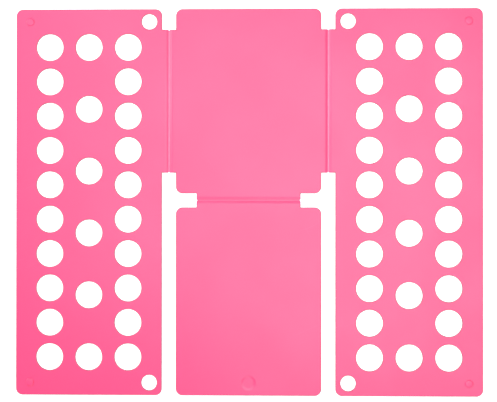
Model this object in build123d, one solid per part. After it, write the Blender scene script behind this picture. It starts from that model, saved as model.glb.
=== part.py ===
from build123d import *
import math
import os

# Shirt folding board: one flexible plastic moulding of four flat panels.
# The board lies open, underside at z = 0. +X points to the right wing, +Y to the top edge.
# All values are in millimetres.

# Overall sizes
board_length = 580.0  # top edge to bottom edge
centre_width = 218.0  # upper panel and flap
sheet_thickness = 2.2
corner_radius = 10.0

# Hinge strips: a flat leaf on each side of a groove that thins to a flexing web
leaf_width = 3.5
flank_width = 7.0  # shoulder to crease, on each side of the crease
web_thickness = 0.6
web_flat = 1.0  # flat part of the web, on each side of the crease
hinge_end_inset = 31.0  # panel corner to the end of the strip
crease_notch_radius = 1.2  # relief notch at each end of the crease

# How the folded board stacks
flap_overhang = 5.0  # folded flap beyond the upper panel
wing_edge_clearance = 1.5  # folded wing's edge to the other side's groove

# Lightening holes in each wing
hole_diameter = 40.0
hole_min_web = 10.0  # least wall between holes of a column
hole_end_margin = 57.35  # wing end to the first row of centres
column_pitch = 59.0
middle_min_pitch = 90.0  # least pitch of the middle column

# Hanging holes, and the pegs that enter those of the other wing when folded
hanging_hole_diameter = 23.0
hanging_hole_inset = 19.0  # centre to the wing's inner edge and to its end
peg_diameter = 12.0
peg_height = 2.0
peg_edge_round = 0.8

# Finger recess in the flap
recess_diameter = 23.0
recess_depth = 1.0
recess_inset = 19.0  # centre to the flap's free edge

# Sizes that follow from those above
strip_width = 2 * (leaf_width + flank_width)
upper_length = (board_length - strip_width - flap_overhang) / 2
flap_length = upper_length + flap_overhang
wing_width = centre_width + leaf_width - wing_edge_clearance
side_strip_length = upper_length - 2 * hinge_end_inset
flap_strip_length = centre_width - 2 * hinge_end_inset
peg_inset = wing_width - centre_width + hanging_hole_inset  # lands in the other wing's hole

# Places
upper_panel_y = (board_length - upper_length) / 2
flap_y = (flap_length - board_length) / 2
side_crease_x = (centre_width + strip_width) / 2
flap_crease_y = board_length / 2 - upper_length - strip_width / 2
wing_x = centre_width / 2 + strip_width + wing_width / 2
hanging_hole_y = board_length / 2 - hanging_hole_inset

LEFT, RIGHT = -1, 1
UPPER, LOWER = 1, -1


def plate(width, length):
    """A flat panel centred on the origin, with rounded corners."""
    return extrude(RectangleRounded(width, length, corner_radius), sheet_thickness)


def drill(diameter, x, y):
    """The volume that a through hole takes away."""
    hole = Cylinder(diameter / 2, 3 * sheet_thickness)
    return Pos(x, y, sheet_thickness / 2) * hole


def spread(span, min_pitch):
    """Evenly spaced places along a span, as many as the least pitch allows."""
    gaps = int(span / min_pitch)
    return [span * (i / gaps - 0.5) for i in range(gaps + 1)]


def wing_panel(side):
    """A wing with its columns of lightening holes and two hanging holes by the centre."""
    span = board_length - 2 * hole_end_margin
    outer_rows = spread(span, hole_diameter + hole_min_web)
    middle_rows = spread(span, middle_min_pitch)
    columns = {-column_pitch: outer_rows, 0: middle_rows, column_pitch: outer_rows}
    cuts = [drill(hole_diameter, x, y) for x, rows in columns.items() for y in rows]
    inner_x = -side * (wing_width / 2 - hanging_hole_inset)
    cuts += [drill(hanging_hole_diameter, inner_x, end * hanging_hole_y) for end in (UPPER, LOWER)]
    return Pos(side * wing_x, 0, 0) * (plate(wing_width, board_length) - cuts)


def peg(side, end):
    """A low round peg with a softened rim, standing on a wing's outer corner."""
    body = Cylinder(peg_diameter / 2, peg_height, align=(Align.CENTER, Align.CENTER, Align.MIN))
    body = fillet(body.edges().sort_by(Axis.Z)[-1], min(peg_edge_round, peg_height / 2))
    x = side * (wing_x + wing_width / 2 - peg_inset)
    return Pos(x, end * hanging_hole_y, sheet_thickness) * body


def flap_panel():
    """The flap, with a round finger recess near its free edge."""
    recess = Cylinder(recess_diameter / 2, recess_depth, align=(Align.CENTER, Align.CENTER, Align.MAX))
    place = Pos(0, recess_inset - flap_length / 2, sheet_thickness)
    return Pos(0, flap_y, 0) * (plate(centre_width, flap_length) - place * recess)


def flank_section():
    """Half of the groove in the XZ plane: the web at x = 0, rising convex to the shoulder."""
    drop = sheet_thickness - web_thickness
    run = flank_width - web_flat
    radius = (run**2 + drop**2) / (2 * drop)
    middle_x = web_flat + run / 2
    middle_z = sheet_thickness - radius + math.sqrt(radius**2 - (run / 2) ** 2)
    web_edge = (web_flat, 0, web_thickness)
    shoulder = (flank_width, 0, sheet_thickness)
    base = Polyline(
        shoulder, (flank_width, 0, 0), (0, 0, 0), (0, 0, web_thickness), web_edge
    )
    rise = ThreePointArc(web_edge, (middle_x, 0, middle_z), shoulder)
    return make_face(base.edges() + rise.edges())


def hinge(length, place):
    """The four regions of a hinge strip, whose x axis points from the root panel outwards."""
    flank = extrude(flank_section(), length / 2, dir=(0, 1, 0), both=True)
    for end in (UPPER, LOWER):
        notch = Cylinder(crease_notch_radius, 3 * sheet_thickness)
        flank -= Pos(0, end * length / 2, 0) * notch
    leaf = Box(leaf_width, length, sheet_thickness, align=(Align.MIN, Align.CENTER, Align.MIN))
    leaf = Pos(flank_width, 0, 0) * leaf
    regions = {
        "inner_leaf": mirror(leaf, about=Plane.YZ),
        "inner_flank": mirror(flank, about=Plane.YZ),
        "outer_flank": flank,
        "outer_leaf": leaf,
    }
    return {name: place * region for name, region in regions.items()}


hinges = {
    "left": (side_strip_length, Pos(-side_crease_x, upper_panel_y, 0) * Rot(0, 0, 180)),
    "right": (side_strip_length, Pos(side_crease_x, upper_panel_y, 0)),
    "flap": (flap_strip_length, Pos(0, flap_crease_y, 0) * Rot(0, 0, -90)),
}

nodes = {
    "upper_panel": Pos(0, upper_panel_y, 0) * plate(centre_width, upper_length),
    "lower_flap_panel": flap_panel(),
}
for side_name, side in {"left": LEFT, "right": RIGHT}.items():
    nodes[f"{side_name}_wing_panel"] = wing_panel(side)
    for end_name, end in {"upper": UPPER, "lower": LOWER}.items():
        nodes[f"{side_name}_wing_{end_name}_peg"] = peg(side, end)
for hinge_name, (strip_length, strip_place) in hinges.items():
    for region_name, region in hinge(strip_length, strip_place).items():
        nodes[f"{hinge_name}_hinge_{region_name}"] = region

os.makedirs("parts", exist_ok=True)
for name, shape in nodes.items():
    shape.label = name
    export_step(shape, f"parts/{name}.step")
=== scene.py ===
"""A folding board for shirts: one thin plastic moulding of four flat panels and three living hinges.

The board lies open. +X points to the right wing and +Y to the top edge, in metres.
"""

import logging
import math
from dataclasses import dataclass, field
from enum import Enum
from typing import Any, Optional, Union

import bmesh
import bpy
from mathutils import Matrix, Vector


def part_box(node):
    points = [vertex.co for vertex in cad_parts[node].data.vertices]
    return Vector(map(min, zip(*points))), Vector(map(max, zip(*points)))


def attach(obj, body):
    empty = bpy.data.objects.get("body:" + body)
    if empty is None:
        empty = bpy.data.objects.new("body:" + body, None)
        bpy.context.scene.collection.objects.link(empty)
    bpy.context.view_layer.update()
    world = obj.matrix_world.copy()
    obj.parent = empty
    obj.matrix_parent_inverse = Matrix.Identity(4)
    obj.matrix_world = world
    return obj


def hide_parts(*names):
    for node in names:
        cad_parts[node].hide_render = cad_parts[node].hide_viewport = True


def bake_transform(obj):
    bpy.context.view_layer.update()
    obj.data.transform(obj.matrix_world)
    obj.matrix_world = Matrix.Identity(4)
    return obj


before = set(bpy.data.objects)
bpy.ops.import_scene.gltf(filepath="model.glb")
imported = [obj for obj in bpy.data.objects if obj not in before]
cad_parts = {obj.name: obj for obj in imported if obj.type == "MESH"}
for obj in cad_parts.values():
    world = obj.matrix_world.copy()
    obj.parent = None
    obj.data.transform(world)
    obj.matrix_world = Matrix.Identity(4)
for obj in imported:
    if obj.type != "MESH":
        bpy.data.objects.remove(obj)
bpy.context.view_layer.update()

MM = 0.001
TINY = 1e-6
SHARP_ANGLE = math.radians(38)
LEVEL = 0.9999  # the least upward part of a level face's normal

log = logging.getLogger("folding_board")

Colour = tuple[float, float, float]
Place = tuple[float, float, float]
Input = Union["Signal", float, tuple]


def rgba(colour: Colour) -> tuple[float, float, float, float]:
    """The colour with full opacity."""
    return (*colour, 1.0)


class Side(Enum):
    """A side of a flat panel, as the direction that it faces."""

    LEFT = (-1.0, 0.0, 0.0)
    RIGHT = (1.0, 0.0, 0.0)
    TOP = (0.0, 1.0, 0.0)
    BOTTOM = (0.0, -1.0, 0.0)

    @property
    def outward(self) -> Vector:
        """The direction away from the panel."""
        return Vector(self.value)

    @property
    def turn(self) -> float:
        """The angle about Z that turns +X to this direction."""
        return math.atan2(self.value[1], self.value[0])


class CreaseLook(Enum):
    """How much paler the plastic is along a crease."""

    PALE = 1.0
    PLAIN = 0.0


class Signal:
    """One output of a shader node, used like a number in an expression."""

    def __init__(self, graph: "NodeGraph", socket: bpy.types.NodeSocket) -> None:
        """Keeps the socket and the graph that it belongs to."""
        self.graph = graph
        self.socket = socket

    def math(self, operation: str, first: Input, second: Input = 0.0) -> "Signal":
        """One Math node.

        Args:
            operation: The node's operation.
            first: The first value.
            second: The second value, where the operation has one.

        Returns:
            The node's result.
        """
        return self.graph.add("ShaderNodeMath", {"operation": operation}, {0: first, 1: second})

    def __add__(self, other: Input) -> "Signal":
        """self + other."""
        return self.math("ADD", self, other)

    def __radd__(self, other: Input) -> "Signal":
        """other + self."""
        return self.math("ADD", other, self)

    def __sub__(self, other: Input) -> "Signal":
        """self - other."""
        return self.math("SUBTRACT", self, other)

    def __rsub__(self, other: Input) -> "Signal":
        """other - self."""
        return self.math("SUBTRACT", other, self)

    def __mul__(self, other: Input) -> "Signal":
        """self * other."""
        return self.math("MULTIPLY", self, other)

    def __rmul__(self, other: Input) -> "Signal":
        """other * self."""
        return self.math("MULTIPLY", other, self)

    def ramp(self, start: float, end: float) -> "Signal":
        """A smooth step.

        Args:
            start: The value that gives 0.
            end: The value that gives 1. It may be below start.

        Returns:
            0 before start, 1 after end, and a smooth curve between them.
        """
        inputs = {"Value": self, "From Min": start, "From Max": end}
        return self.graph.add("ShaderNodeMapRange", {"interpolation_type": "SMOOTHSTEP"}, inputs)


class NodeGraph:
    """A node tree that is written as Python expressions."""

    def __init__(self, tree: bpy.types.NodeTree) -> None:
        """Empties the tree.

        Args:
            tree: The node tree of a material or a world.
        """
        self.tree = tree
        tree.nodes.clear()

    def add(
        self,
        kind: str,
        settings: Optional[dict[str, Any]] = None,
        inputs: Optional[dict[Union[int, str], Any]] = None,
        output: Union[int, str] = 0,
    ) -> Signal:
        """Adds one node of any type.

        Args:
            kind: The node's type.
            settings: Its properties, which are set first.
            inputs: A value or a Signal for each socket that isn't left as it is.
            output: The output socket to return.

        Returns:
            That output, as a Signal.
        """
        node = self.tree.nodes.new(kind)
        for key, value in (settings or {}).items():
            setattr(node, key, value)
        for key, value in (inputs or {}).items():
            if isinstance(value, Signal):
                self.tree.links.new(value.socket, node.inputs[key])
            else:
                node.inputs[key].default_value = value
        return Signal(self, node.outputs[output] if node.outputs else None)

    def attribute(self, name: str, output: str) -> Signal:
        """A value stored on the piece's own mesh.

        Args:
            name: The attribute's name.
            output: "Fac" for a number or "Vector" for a place.

        Returns:
            The attribute's value.
        """
        return self.add("ShaderNodeAttribute", {"attribute_name": name}, output=output)

    def stretched(self, place: Signal, turn: float, scale: Colour) -> Signal:
        """Turns and stretches a place about Z.

        Args:
            place: The place.
            turn: The angle, in radians.
            scale: How much each axis is stretched.

        Returns:
            The new place.
        """
        inputs = {"Vector": place, "Rotation": (0.0, 0.0, turn), "Scale": scale}
        return self.add("ShaderNodeMapping", {"vector_type": "TEXTURE"}, inputs)

    def noise(self, place: Signal, size: float, detail: float = 2.0) -> Signal:
        """Smooth random patches from 0 to 1.

        Args:
            place: Where to read the pattern.
            size: The patches' rough size, in metres.
            detail: How many finer layers are added.

        Returns:
            The pattern's value.
        """
        inputs = {"Vector": place, "Scale": 1.0 / size, "Detail": detail}
        return self.add("ShaderNodeTexNoise", {}, inputs)

    def blend(self, factor: Input, low: Input, high: Input) -> Signal:
        """Mixes two colours.

        Args:
            factor: 0 for low and 1 for high.
            low: The first colour, with its alpha.
            high: The second colour, with its alpha.

        Returns:
            The mixed colour.
        """
        inputs = {0: factor, 6: low, 7: high}
        return self.add("ShaderNodeMix", {"data_type": "RGBA"}, inputs, output=2)


@dataclass(frozen=True)
class MouldedPlastic:
    """Satin polypropylene: pink, with a fine moulded grain, slow flow clouds and light scuffs."""

    name: str
    colour: Colour = (0.95, 0.062, 0.203)
    deep_colour: Colour = (0.93, 0.056, 0.192)
    pale_colour: Colour = (0.98, 0.190, 0.350)
    roughness: float = 0.32
    cloud_size: float = 0.11
    grain_size: float = 0.9 * MM
    grain_depth: float = 0.004 * MM
    waviness_size: float = 0.05
    waviness_depth: float = 0.010 * MM
    scuff_gloss: float = 0.10
    scuff_paleness: float = 0.06
    scuff_patch_size: float = 0.07
    cloud_gloss: float = 0.05
    speckle_share: float = 0.3
    breakup_size: float = 6 * MM
    breakup_share: float = 0.3
    refraction: float = 1.6

    def scuffs(self, graph: NodeGraph, place: Signal) -> Signal:
        """Fine scuffs in two directions, in scattered patches.

        Args:
            graph: The material's nodes.
            place: The rest place on the board.

        Returns:
            1 in a scuff and 0 elsewhere.
        """
        along = graph.noise(graph.stretched(place, math.radians(24), (30.0, 1.0, 1.0)), 0.0016, 1.0)
        across = graph.noise(graph.stretched(place, math.radians(-58), (24.0, 1.0, 1.0)), 0.0021, 1.0)
        patches = graph.noise(place, self.scuff_patch_size, 1.0).ramp(0.46, 0.66)
        return patches * (along.ramp(0.66, 0.74) + across.ramp(0.68, 0.76))

    def make(self) -> bpy.types.Material:
        """Builds the material.

        Returns:
            The finished material.
        """
        material = bpy.data.materials.new(self.name)
        material.use_nodes = True
        graph = NodeGraph(material.node_tree)
        place = graph.attribute("rest_place", "Vector")
        clouds = graph.noise(place, self.cloud_size, 3.0).ramp(0.32, 0.68)
        speckle = graph.noise(place, self.grain_size, 1.0)
        scuffs = self.scuffs(graph, place)
        # Paler along a crease, fading out away from it.
        crease_paleness = graph.attribute("crease_pale", "Fac")
        breakup = graph.noise(place, self.breakup_size, 2.0).ramp(0.2, 0.75)
        depth = clouds * (1.0 - self.speckle_share) + speckle * self.speckle_share
        pigment = graph.blend(depth, rgba(self.colour), rgba(self.deep_colour))
        scuffed = graph.blend(scuffs * self.scuff_paleness, pigment, rgba(self.pale_colour))
        pale = crease_paleness * ((1.0 - self.breakup_share) + breakup * self.breakup_share)
        colour = graph.blend(pale, scuffed, rgba(self.pale_colour))
        grain = graph.noise(place, self.grain_size, 2.0) * self.grain_depth
        waviness = graph.noise(place, self.waviness_size, 0.0) * self.waviness_depth
        height = grain + waviness
        bump = graph.add("ShaderNodeBump", {}, {"Height": height, "Distance": 1.0, "Strength": 1.0})
        roughness = self.roughness + clouds * self.cloud_gloss + scuffs * self.scuff_gloss
        surface = {
            "Base Color": colour,
            "Roughness": roughness,
            "Normal": bump,
            "IOR": self.refraction,
        }
        shader = graph.add("ShaderNodeBsdfPrincipled", {}, surface)
        graph.add("ShaderNodeOutputMaterial", {}, {"Surface": shader})
        return material


class Workpiece:
    """A mesh on the bench, and the last steps that all pieces share."""

    def __init__(self, name: str) -> None:
        """Starts with an empty mesh.

        Args:
            name: The finished piece's name.
        """
        self.name = name
        self.bm = bmesh.new()

    def place(self, matrix: Matrix) -> None:
        """Moves the whole mesh by a matrix."""
        bmesh.ops.transform(self.bm, matrix=matrix, verts=self.bm.verts[:])

    def round_edges(
        self, edges: list[bmesh.types.BMEdge], radius: float, segments: int = 3, finish_index: int = 1
    ) -> None:
        """Rounds edges.

        Args:
            edges: The edges to round.
            radius: The rounding's radius.
            segments: Faces across the rounding.
            finish_index: The new faces' finish: 0 for the sheet's and 1 for the darker one that paints
                shade on the rounded rims.
        """
        made = bmesh.ops.bevel(
            self.bm, geom=edges, offset=radius, offset_type="OFFSET", segments=segments,
            profile=0.5, affect="EDGES", clamp_overlap=False, material=-1,
        )
        # Index 1 is the darker finish that paints shade on the rounded rims.
        for face in made["faces"]:
            face.material_index = finish_index

    def finish(self, finishes: list[bpy.types.Material]) -> bpy.types.Object:
        """Turns the mesh into an object, smooth where it is curved.

        Args:
            finishes: The sheet's finish, then the darker finish that paints shade on the rounded rims.

        Returns:
            The finished object, at the origin.
        """
        bm = self.bm
        bmesh.ops.recalc_face_normals(bm, faces=bm.faces[:])
        rest = bm.verts.layers.float_vector.new("rest_place")
        for vert in bm.verts:
            vert[rest] = vert.co
        for face in bm.faces:
            face.smooth = abs(face.normal.z) < LEVEL
        for edge in bm.edges:
            edge.smooth = edge.calc_face_angle(0.0) < SHARP_ANGLE
        mesh = bpy.data.meshes.new(self.name)
        bm.to_mesh(mesh)
        bm.free()
        for finish in finishes:
            mesh.materials.append(finish)
        piece = bpy.data.objects.new(self.name, mesh)
        bpy.context.collection.objects.link(piece)
        log.info("%s: %d faces", self.name, len(mesh.polygons))
        return piece


@dataclass(frozen=True)
class RoundHole:
    """A round hole through a panel, or the rim of a recess."""

    x: float
    y: float
    diameter: float
    segments: int = 56

    def outline(self, bm: bmesh.types.BMesh) -> list[bmesh.types.BMEdge]:
        """Draws the hole's circle at z = 0.

        Args:
            bm: The panel's mesh.

        Returns:
            The circle's edges.
        """
        made = bmesh.ops.create_circle(
            bm, cap_ends=False, segments=self.segments, radius=self.diameter / 2,
            matrix=Matrix.Translation((self.x, self.y, 0.0)),
        )
        ring = set(made["verts"])
        return [edge for edge in bm.edges if edge.verts[0] in ring and edge.verts[1] in ring]


@dataclass(frozen=True)
class Tab:
    """The flat strip of a panel that a hinge's flank starts from."""

    node: str
    side: Side

    @property
    def width(self) -> float:
        """How far the strip reaches out of the panel."""
        low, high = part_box(self.node)
        return abs((high - low).dot(self.side.outward))

    @property
    def edge_place(self) -> float:
        """Where the strip ends, measured along its outward direction."""
        low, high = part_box(self.node)
        return max(low.dot(self.side.outward), high.dot(self.side.outward))

    def joins(self, edge: bmesh.types.BMEdge) -> bool:
        """True if the edge lies where the hinge's flank starts."""
        return all(abs(vert.co.dot(self.side.outward) - self.edge_place) < TINY for vert in edge.verts)

    def pull_out(self, bm: bmesh.types.BMesh, panel_place: float) -> None:
        """Grows the strip out of the panel's flat outline.

        Args:
            bm: The panel's mesh, one flat face with rounded corners.
            panel_place: The panel's side, measured along the outward direction.
        """
        low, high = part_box(self.node)
        outward = self.side.outward
        along = Vector((abs(outward.y), abs(outward.x), 0.0))
        for end in (low, high):
            edge = self.side_edge(bm, panel_place, end.dot(along))
            bmesh.ops.bisect_plane(
                bm, geom=[edge, *edge.verts], dist=TINY, plane_co=along * end.dot(along), plane_no=along
            )
        edge = self.side_edge(bm, panel_place, (low + high).dot(along) / 2)
        made = bmesh.ops.extrude_edge_only(bm, edges=[edge])
        verts = [item for item in made["geom"] if isinstance(item, bmesh.types.BMVert)]
        bmesh.ops.translate(bm, vec=outward * self.width, verts=verts)

    def side_edge(self, bm: bmesh.types.BMesh, panel_place: float, place: float) -> bmesh.types.BMEdge:
        """Finds the straight edge on this side of the panel that holds a place.

        Args:
            bm: The panel's mesh.
            panel_place: The panel's side, measured along the outward direction.
            place: The place along the side.

        Returns:
            The edge there.
        """
        outward = self.side.outward
        along = Vector((abs(outward.y), abs(outward.x), 0.0))
        for edge in bm.edges:
            on_side = all(abs(vert.co.dot(outward) - panel_place) < TINY for vert in edge.verts)
            ends = sorted(vert.co.dot(along) for vert in edge.verts)
            if on_side and ends[0] - TINY < place < ends[1] + TINY:
                return edge
        raise ValueError(f"no straight edge of the panel holds {self.node}")


@dataclass(frozen=True)
class Recess:
    """A shallow round finger dish in a panel's top, with a soft wall and a flat floor."""

    rim: RoundHole
    depth: float = 1.0 * MM
    wall: float = 4.0 * MM
    steps: int = 12

    def disc(self, bm: bmesh.types.BMesh) -> list[bmesh.types.BMFace]:
        """The panel's top faces inside the dish's circle."""
        reach = self.rim.diameter / 2 + TINY
        return [
            face
            for face in bm.faces
            if face.normal.z > LEVEL
            and all(math.hypot(v.co.x - self.rim.x, v.co.y - self.rim.y) < reach for v in face.verts)
        ]

    def sink(self, bm: bmesh.types.BMesh) -> None:
        """Presses the dish into the panel, ring by ring.

        Args:
            bm: The panel's mesh, with the dish's circle filled by faces of its own.
        """
        disc = self.disc(bm)
        centre = Matrix.Translation((-self.rim.x, -self.rim.y, 0.0))
        radius, sunk = self.rim.diameter / 2, 0.0
        for step in range(1, self.steps + 1):
            part = step / self.steps
            next_radius = self.rim.diameter / 2 - self.wall * part
            next_sunk = self.depth * part * part * (3.0 - 2.0 * part)
            made = bmesh.ops.extrude_face_region(bm, geom=disc)
            bmesh.ops.delete(bm, geom=[face for face in disc if face.is_valid], context="FACES_ONLY")
            disc = [item for item in made["geom"] if isinstance(item, bmesh.types.BMFace)]
            verts = [item for item in made["geom"] if isinstance(item, bmesh.types.BMVert)]
            shrink = next_radius / radius
            bmesh.ops.scale(bm, vec=(shrink, shrink, 1.0), space=centre, verts=verts)
            bmesh.ops.translate(bm, vec=(0.0, 0.0, sunk - next_sunk), verts=verts)
            radius, sunk = next_radius, next_sunk


@dataclass
class Sheet:
    """A flat panel with its hinge tabs, holes and softly rounded rim."""

    name: str
    body: str
    node: str
    tabs: tuple[Tab, ...]
    holes: tuple[RoundHole, ...] = ()
    recess: Optional[Recess] = None
    corner_radius: float = 10.0 * MM
    corner_segments: int = 10
    rim_round: float = 1.0 * MM

    def outline(self, bm: bmesh.types.BMesh, low: Vector, high: Vector) -> None:
        """Makes the flat outline: a rounded rectangle with its tabs.

        Args:
            bm: An empty mesh.
            low: The panel's lowest corner.
            high: The panel's highest corner.
        """
        size = high - low
        bmesh.ops.create_grid(bm, x_segments=1, y_segments=1, size=0.5)
        bmesh.ops.scale(bm, vec=(size.x, size.y, 1.0), verts=bm.verts[:])
        bmesh.ops.translate(bm, vec=((low.x + high.x) / 2, (low.y + high.y) / 2, 0.0), verts=bm.verts[:])
        bmesh.ops.bevel(
            bm, geom=bm.verts[:], offset=self.corner_radius, offset_type="OFFSET",
            segments=self.corner_segments, profile=0.5, affect="VERTICES", material=-1,
        )
        for tab in self.tabs:
            outward = tab.side.outward
            tab.pull_out(bm, max(low.dot(outward), high.dot(outward)))
        inner = [edge for edge in bm.edges if not edge.is_boundary]
        bmesh.ops.dissolve_edges(bm, edges=inner, use_verts=False)

    def cut_and_fill(self, bm: bmesh.types.BMesh) -> None:
        """Replaces the outline's face with one that goes round the holes and the recess."""
        bmesh.ops.delete(bm, geom=bm.faces[:], context="FACES_ONLY")
        for hole in self.holes:
            hole.outline(bm)
        disc = self.recess.rim.outline(bm) if self.recess else []
        bmesh.ops.triangle_fill(bm, use_beauty=True, edges=bm.edges[:], normal=(0.0, 0.0, 1.0))
        if disc:
            bmesh.ops.contextual_create(bm, geom=disc)

    def rim_edges(self, bm: bmesh.types.BMesh) -> list[bmesh.types.BMEdge]:
        """The panel's top and bottom edges, apart from those that a hinge joins."""
        return [
            edge
            for edge in bm.edges
            if edge.calc_face_angle(0.0) > SHARP_ANGLE
            and abs(edge.verts[0].co.z - edge.verts[1].co.z) < TINY
            and not any(tab.joins(edge) for tab in self.tabs)
        ]

    def build(self, finishes: list[bpy.types.Material]) -> bpy.types.Object:
        """Makes the panel and puts it on its body.

        Args:
            finishes: The sheet's finish, then the darker finish that paints shade on the rounded rims.

        Returns:
            The finished panel.
        """
        low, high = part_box(self.node)
        work = Workpiece(self.name)
        bm = work.bm
        self.outline(bm, low, high)
        self.cut_and_fill(bm)
        made = bmesh.ops.extrude_face_region(bm, geom=bm.faces[:], use_keep_orig=True)
        top = [item for item in made["geom"] if isinstance(item, bmesh.types.BMVert)]
        bmesh.ops.translate(bm, vec=(0.0, 0.0, high.z), verts=top)
        bmesh.ops.recalc_face_normals(bm, faces=bm.faces[:])
        rim = self.rim_edges(bm)
        # The rounded rims get the second finish, a darker pink that is painted shade.
        work.round_edges(rim, self.rim_round)
        if self.recess:
            self.recess.sink(bm)
        piece = work.finish(finishes)
        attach(piece, self.body)
        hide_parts(self.node, *(tab.node for tab in self.tabs))
        return piece


@dataclass
class Stud:
    """A low round stud that enters the other wing's hanging hole when the board is folded."""

    name: str
    body: str
    node: str
    segments: int = 64
    rim_round: float = 1.45 * MM
    foot_round: float = 0.3 * MM
    crown: float = 0.2 * MM
    root: float = 0.5 * MM

    def build(self, finishes: list[bpy.types.Material]) -> bpy.types.Object:
        """Makes the stud by turning its half section, and puts it on its wing.

        Args:
            finishes: The sheet's finish, then the darker finish that paints shade on the rounded rims.

        Returns:
            The finished stud.
        """
        low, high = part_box(self.node)
        radius = (high.x - low.x) / 2
        work = Workpiece(self.name)
        bm = work.bm
        section = [
            (0.0, low.z - self.root),
            (radius + self.foot_round, low.z - self.root),
            (radius + self.foot_round, low.z),
            (radius + self.foot_round / 4, low.z + self.foot_round / 4),
            (radius, low.z + self.foot_round),
            (radius, high.z - self.crown),
            (0.0, high.z),
        ]
        corners = [bm.verts.new((along, 0.0, height)) for along, height in section]
        for first, second in zip(corners, corners[1:]):
            bm.edges.new((first, second))
        bmesh.ops.spin(
            bm, geom=bm.verts[:] + bm.edges[:], cent=(0.0, 0.0, 0.0), axis=(0.0, 0.0, 1.0),
            angle=math.tau, steps=self.segments, use_merge=True,
        )
        bmesh.ops.remove_doubles(bm, verts=bm.verts[:], dist=TINY)
        bmesh.ops.recalc_face_normals(bm, faces=bm.faces[:])
        rim_height = high.z - self.crown
        rim = [
            edge for edge in bm.edges if all(abs(vert.co.z - rim_height) < TINY for vert in edge.verts)
        ]
        work.round_edges(rim, self.rim_round, 7, finish_index=0)
        work.place(Matrix.Translation(((low.x + high.x) / 2, (low.y + high.y) / 2, 0.0)))
        piece = work.finish(finishes)
        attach(piece, self.body)
        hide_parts(self.node)
        return piece


@dataclass
class LivingHinge:
    """A groove that thins the sheet to a flexing web, between two panels."""

    name: str
    leaf_body: str
    side: Side
    look: CreaseLook
    root_body: str = "centre"
    web_flat: float = 1.0 * MM
    web_thickness: float = 0.6 * MM
    notch_radius: float = 1.2 * MM
    bend_reach: float = 1.5 * MM
    # How far from the crease the plastic is paler.
    pale_reach: float = 1.15 * MM
    fine_columns: tuple[float, ...] = (0.0, 0.25, 0.5, 0.75, 1.0, 1.2, 1.5, 1.9, 2.4, 2.9)
    bend_columns: int = 12

    def measure(self) -> None:
        """Reads the hinge's sizes from its two flanks."""
        low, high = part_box(f"{self.name}_hinge_inner_flank")
        outer_low, outer_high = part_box(f"{self.name}_hinge_outer_flank")
        outward = self.side.outward
        along = Vector((abs(outward.y), abs(outward.x), 0.0))
        self.thickness = high.z
        self.flank = abs((high - low).dot(outward))
        self.length = (high - low).dot(along)
        corners = [Vector(map(min, low, outer_low)), Vector(map(max, high, outer_high))]
        self.middle = (corners[0] + corners[1]) / 2
        self.middle.z = 0.0

    def at(self, reach: float) -> Vector:
        """The place on the hinge's middle line that lies reach outwards of the crease."""
        return self.middle + self.side.outward * reach + Vector((0.0, 0.0, self.web_thickness))

    def surface(self, reach: float) -> float:
        """The groove's height.

        Args:
            reach: The distance from the crease, either way.

        Returns:
            The height above the underside.
        """
        run = self.flank - self.web_flat
        drop = self.thickness - self.web_thickness
        radius = (run * run + drop * drop) / (2 * drop)
        short = self.flank - max(self.web_flat, min(self.flank, abs(reach)))
        return self.thickness - radius + math.sqrt(radius * radius - short * short)

    def part(
        self, name: str, start: float, end: float, columns: list[float], finishes: list[bpy.types.Material]
    ) -> bpy.types.Object:
        """Makes one stretch of the hinge, across its whole length.

        Args:
            name: The piece's name.
            start: Its inner side, outwards of the crease.
            end: Its outer side, outwards of the crease.
            columns: Where it is divided across its width.
            finishes: The sheet's finish, then the darker finish that paints shade on the rounded rims.

        Returns:
            The finished piece.
        """
        work = Workpiece(name)
        bm = work.bm
        bmesh.ops.create_cube(bm, size=1.0)
        bmesh.ops.scale(bm, vec=(end - start, self.length, self.thickness), verts=bm.verts[:])
        bmesh.ops.translate(bm, vec=((start + end) / 2, 0.0, self.thickness / 2), verts=bm.verts[:])
        for column in columns:
            bmesh.ops.bisect_plane(
                bm, geom=bm.verts[:] + bm.edges[:] + bm.faces[:], dist=TINY,
                plane_co=(column, 0.0, 0.0), plane_no=(1.0, 0.0, 0.0),
            )
        pale = bm.verts.layers.float.new("crease_pale")
        for vert in bm.verts:
            reach = abs(vert.co.x)
            if vert.co.z > self.thickness / 2:
                vert.co.z = self.surface(reach)
            if reach < self.notch_radius:
                notch = math.sqrt(self.notch_radius**2 - reach**2)
                vert.co.y -= math.copysign(notch, vert.co.y)
            fade = max(0.0, 1.0 - reach / self.pale_reach)
            vert[pale] = self.look.value * math.sqrt(fade) if fade else 0.0
        work.place(Matrix.Translation(self.middle) @ Matrix.Rotation(self.side.turn, 4, "Z"))
        return work.finish(finishes)

    def build(self, finishes: list[bpy.types.Material]) -> list[bpy.types.Object]:
        """Makes the hinge's three pieces.

        Args:
            finishes: The sheet's finish, then the darker finish that paints shade on the rounded rims.

        Returns:
            The bend by the root panel, the crease, and the bend by the moving panel.
        """
        self.measure()
        half = self.flank / 2
        inner_flank = f"{self.name}_inner_flank"
        outer_flank = f"{self.name}_outer_flank"
        step = half / self.bend_columns
        outer_columns = [half + step * count for count in range(1, self.bend_columns)]
        inner_columns = [-place for place in outer_columns]
        web = sorted({sign * column * MM for sign in (-1, 1) for column in self.fine_columns})
        inner = self.part(f"{self.name}_root_bend", -self.flank, -half, inner_columns, finishes)
        self.at(-self.flank)
        self.at(-half)
        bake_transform(inner)
        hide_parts(f"{self.name}_hinge_inner_flank")
        crease = self.part(f"{self.name}_crease_web", -half, half, web, finishes)
        self.at(-self.bend_reach)
        self.at(self.bend_reach)
        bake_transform(crease)
        outer = self.part(f"{self.name}_leaf_bend", half, self.flank, outer_columns, finishes)
        self.at(half)
        self.at(self.flank)
        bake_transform(outer)
        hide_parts(f"{self.name}_hinge_outer_flank")
        return [inner, crease, outer]


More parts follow.
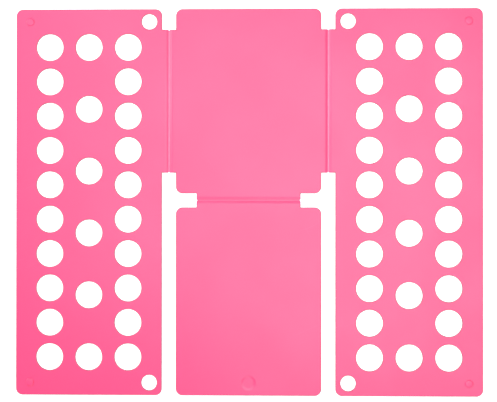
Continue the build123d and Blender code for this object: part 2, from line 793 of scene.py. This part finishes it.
@dataclass
class Wing:
    """A side wing: a long panel with three columns of lightening holes, two hanging holes and two studs."""

    side: Side
    hole_diameter: float = 40.0 * MM
    hole_min_web: float = 10.0 * MM
    hole_end_margin: float = 57.35 * MM
    column_pitch: float = 59.0 * MM
    middle_min_pitch: float = 90.0 * MM
    hanging_diameter: float = 23.0 * MM
    hanging_inset: float = 19.0 * MM

    @property
    def name(self) -> str:
        """The wing's body."""
        return f"{self.side.name.lower()}_wing"

    def rows(self, span: float, min_pitch: float) -> list[float]:
        """Even places along a span.

        Args:
            span: The distance from the first hole to the last.
            min_pitch: The least pitch.

        Returns:
            The places, measured from the span's middle.
        """
        gaps = int(span / min_pitch)
        return [span * (count / gaps - 0.5) for count in range(gaps + 1)]

    def holes(self) -> tuple[RoundHole, ...]:
        """All round holes of the wing, in place."""
        low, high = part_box(f"{self.name}_panel")
        middle = (low.x + high.x) / 2
        inner = middle - self.side.outward.x * ((high.x - low.x) / 2 - self.hanging_inset)
        span = high.y - low.y - 2 * self.hole_end_margin
        outer_rows = self.rows(span, self.hole_diameter + self.hole_min_web)
        middle_rows = self.rows(span, self.middle_min_pitch)
        columns = {-self.column_pitch: outer_rows, 0.0: middle_rows, self.column_pitch: outer_rows}
        holes = [
            RoundHole(middle + shift, row, self.hole_diameter)
            for shift, rows in columns.items()
            for row in rows
        ]
        for end in (high.y - self.hanging_inset, low.y + self.hanging_inset):
            holes.append(RoundHole(inner, end, self.hanging_diameter, 44))
        return tuple(holes)

    def build(self, finishes: list[bpy.types.Material]) -> list[bpy.types.Object]:
        """Makes the wing's panel and its two studs.

        Args:
            finishes: The sheet's finish, then the darker finish that paints shade on the rounded rims.

        Returns:
            The panel, then the studs.
        """
        word = self.side.name.lower()
        inward = Side.RIGHT if self.side is Side.LEFT else Side.LEFT
        tab = Tab(f"{word}_hinge_outer_leaf", inward)
        sheet = Sheet(f"{word}_wing_sheet", self.name, f"{self.name}_panel", (tab,), self.holes())
        studs = [
            Stud(f"{word}_{end}_stud", self.name, f"{self.name}_{end}_peg") for end in ("upper", "lower")
        ]
        return [piece.build(finishes) for piece in (sheet, *studs)]


@dataclass
class Centre:
    """The middle of the board: the upper panel that stays still and the flap below it."""

    recess_diameter: float = 23.0 * MM
    recess_inset: float = 19.0 * MM

    def build(self, finishes: list[bpy.types.Material]) -> list[bpy.types.Object]:
        """Makes the upper panel and the flap.

        Args:
            finishes: The sheet's finish, then the darker finish that paints shade on the rounded rims.

        Returns:
            The two panels.
        """
        tabs = (
            Tab("left_hinge_inner_leaf", Side.LEFT),
            Tab("right_hinge_inner_leaf", Side.RIGHT),
            Tab("flap_hinge_inner_leaf", Side.BOTTOM),
        )
        upper = Sheet("upper_sheet", "centre", "upper_panel", tabs)
        low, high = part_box("lower_flap_panel")
        recess = Recess(
            RoundHole((low.x + high.x) / 2, low.y + self.recess_inset, self.recess_diameter, 48)
        )
        tab = Tab("flap_hinge_outer_leaf", Side.TOP)
        flap = Sheet("flap_sheet", "flap", "lower_flap_panel", (tab,), recess=recess)
        return [upper.build(finishes), flap.build(finishes)]


@dataclass(frozen=True)
class Softbox:
    """A rectangular studio light."""

    name: str
    place: Place
    aim: Place
    width: float
    depth: float
    power: float

    def build(self) -> None:
        """Adds the light."""
        lamp = bpy.data.lights.new(self.name, "AREA")
        lamp.shape = "RECTANGLE"
        lamp.size = self.width
        lamp.size_y = self.depth
        lamp.energy = self.power
        light = bpy.data.objects.new(self.name, lamp)
        light.location = self.place
        light.rotation_mode = "QUATERNION"
        light.rotation_quaternion = (Vector(self.aim) - Vector(self.place)).to_track_quat("-Z", "Y")
        light.visible_camera = False
        bpy.context.collection.objects.link(light)


@dataclass
class Studio:
    """The floor, the lights and the camera straight above."""

    camera_place: Vector = field(default_factory=lambda: Vector((0.0391, -0.0068, 1.6)))
    look_at: Vector = field(default_factory=lambda: Vector((0.0, 0.0016, 0.0)))
    camera_roll: float = 0.00062
    view_width: float = 0.7456
    sensor_width: float = 36.0
    far_clip: float = 200.0
    floor_size: float = 60.0
    floor_drop: float = 0.1 * MM
    floor_shade: float = 0.94
    floor_roughness: float = 0.9
    floor_glow: float = 0.40
    zenith: float = 0.12
    horizon: float = 0.78
    backdrop: float = 0.80

    def camera(self) -> None:
        """Adds the camera: a long lens that looks almost straight down."""
        lens = bpy.data.cameras.new("camera")
        lens.sensor_width = self.sensor_width
        lens.lens = self.sensor_width * self.camera_place.z / self.view_width
        lens.clip_end = self.far_clip
        camera = bpy.data.objects.new("camera", lens)
        toward = (self.look_at - self.camera_place).normalized()
        right = toward.cross(Vector((0.0, 1.0, 0.0))).normalized()
        turn = Matrix((right, right.cross(toward), -toward)).transposed().to_4x4()
        camera.matrix_world = (
            Matrix.Translation(self.camera_place) @ turn @ Matrix.Rotation(self.camera_roll, 4, "Z")
        )
        bpy.context.collection.objects.link(camera)
        bpy.context.scene.camera = camera

    def floor(self) -> None:
        """Adds a plain pale floor that can be seen through from below."""
        bm = bmesh.new()
        bmesh.ops.create_grid(bm, x_segments=1, y_segments=1, size=self.floor_size / 2)
        bmesh.ops.translate(bm, vec=(0.0, 0.0, -self.floor_drop), verts=bm.verts[:])
        mesh = bpy.data.meshes.new("floor")
        bm.to_mesh(mesh)
        bm.free()
        material = bpy.data.materials.new("pale_floor")
        material.use_nodes = True
        graph = NodeGraph(material.node_tree)
        pale = rgba((self.floor_shade,) * 3)
        paint = {
            "Base Color": pale,
            "Roughness": self.floor_roughness,
            "Emission Color": pale,
            "Emission Strength": self.floor_glow,
        }
        shader = graph.add("ShaderNodeBsdfPrincipled", {}, paint)
        clear = graph.add("ShaderNodeBsdfTransparent")
        below = graph.add("ShaderNodeNewGeometry", output="Backfacing")
        both = graph.add("ShaderNodeMixShader", {}, {0: below, 1: shader, 2: clear})
        graph.add("ShaderNodeOutputMaterial", {}, {"Surface": both})
        mesh.materials.append(material)
        floor = bpy.data.objects.new("floor", mesh)
        bpy.context.collection.objects.link(floor)

    def world(self) -> None:
        """Adds a soft sky, brighter low down, that the camera sees as plain white."""
        world = bpy.data.worlds.new("studio")
        world.use_nodes = True
        bpy.context.scene.world = world
        graph = NodeGraph(world.node_tree)
        direction = graph.add("ShaderNodeTexCoord", output="Generated")
        rise = graph.add("ShaderNodeSeparateXYZ", {}, {0: direction}, output="Z")
        seen = graph.add("ShaderNodeLightPath", output="Is Camera Ray")
        strength = self.horizon - rise.ramp(0.3, 1.0) * (self.horizon - self.zenith)
        white = rgba((1.0, 1.0, 1.0))
        plain = graph.add("ShaderNodeBackground", {}, {"Color": white, "Strength": self.backdrop})
        light = graph.add("ShaderNodeBackground", {}, {"Color": white, "Strength": strength})
        both = graph.add("ShaderNodeMixShader", {}, {0: seen, 1: light, 2: plain})
        graph.add("ShaderNodeOutputWorld", {}, {"Surface": both})

    def build(self) -> None:
        """Sets up the whole studio."""
        bpy.context.scene.view_settings.view_transform = "Standard"
        self.camera()
        self.floor()
        self.world()
        middle = (0.0, 0.0, 0.0)
        overhead_boxes = (
            Softbox("right_box", (0.35, 0.02, 1.21), (0.35, 0.02, 0.0), width=0.86, depth=1.12, power=9.7),
            Softbox("left_box", (-0.32, 0.46, 1.21), (-0.32, 0.46, 0.0), width=0.48, depth=1.5, power=5.6),
        )
        side_boxes = (
            Softbox("key_box", (-1.5, 0.6, 1.35), middle, width=1.0, depth=1.0, power=17.0),
            Softbox("front_box", (0.1, -1.5, 1.35), middle, width=0.9, depth=0.9, power=7.0),
        )
        for box in overhead_boxes + side_boxes:
            box.build()
            log.info("%s: %.0f W", box.name, box.power)


def main() -> None:
    """Builds the board, then the studio round it."""
    sheet_finish = MouldedPlastic("moulded_pink").make()
    # Painted shade: a darker pink on every rounded rim, standing in for the shade that the rounded edges
    # fall into.
    painted_rim_shade = MouldedPlastic(
        "moulded_pink_painted_rim_shade", colour=(0.36, 0.064, 0.122), deep_colour=(0.32, 0.058, 0.110), roughness=0.42
    ).make()
    finishes = [sheet_finish, painted_rim_shade]
    Centre().build(finishes)
    for side in (Side.LEFT, Side.RIGHT):
        Wing(side).build(finishes)
    LivingHinge("left", "left_wing", Side.LEFT, CreaseLook.PALE).build(finishes)
    LivingHinge("right", "right_wing", Side.RIGHT, CreaseLook.PALE).build(finishes)
    LivingHinge("flap", "flap", Side.BOTTOM, CreaseLook.PLAIN).build(finishes)
    Studio().build()


if __name__ == "__main__":
    logging.basicConfig(level=logging.INFO, format="%(name)s %(message)s")
    main()
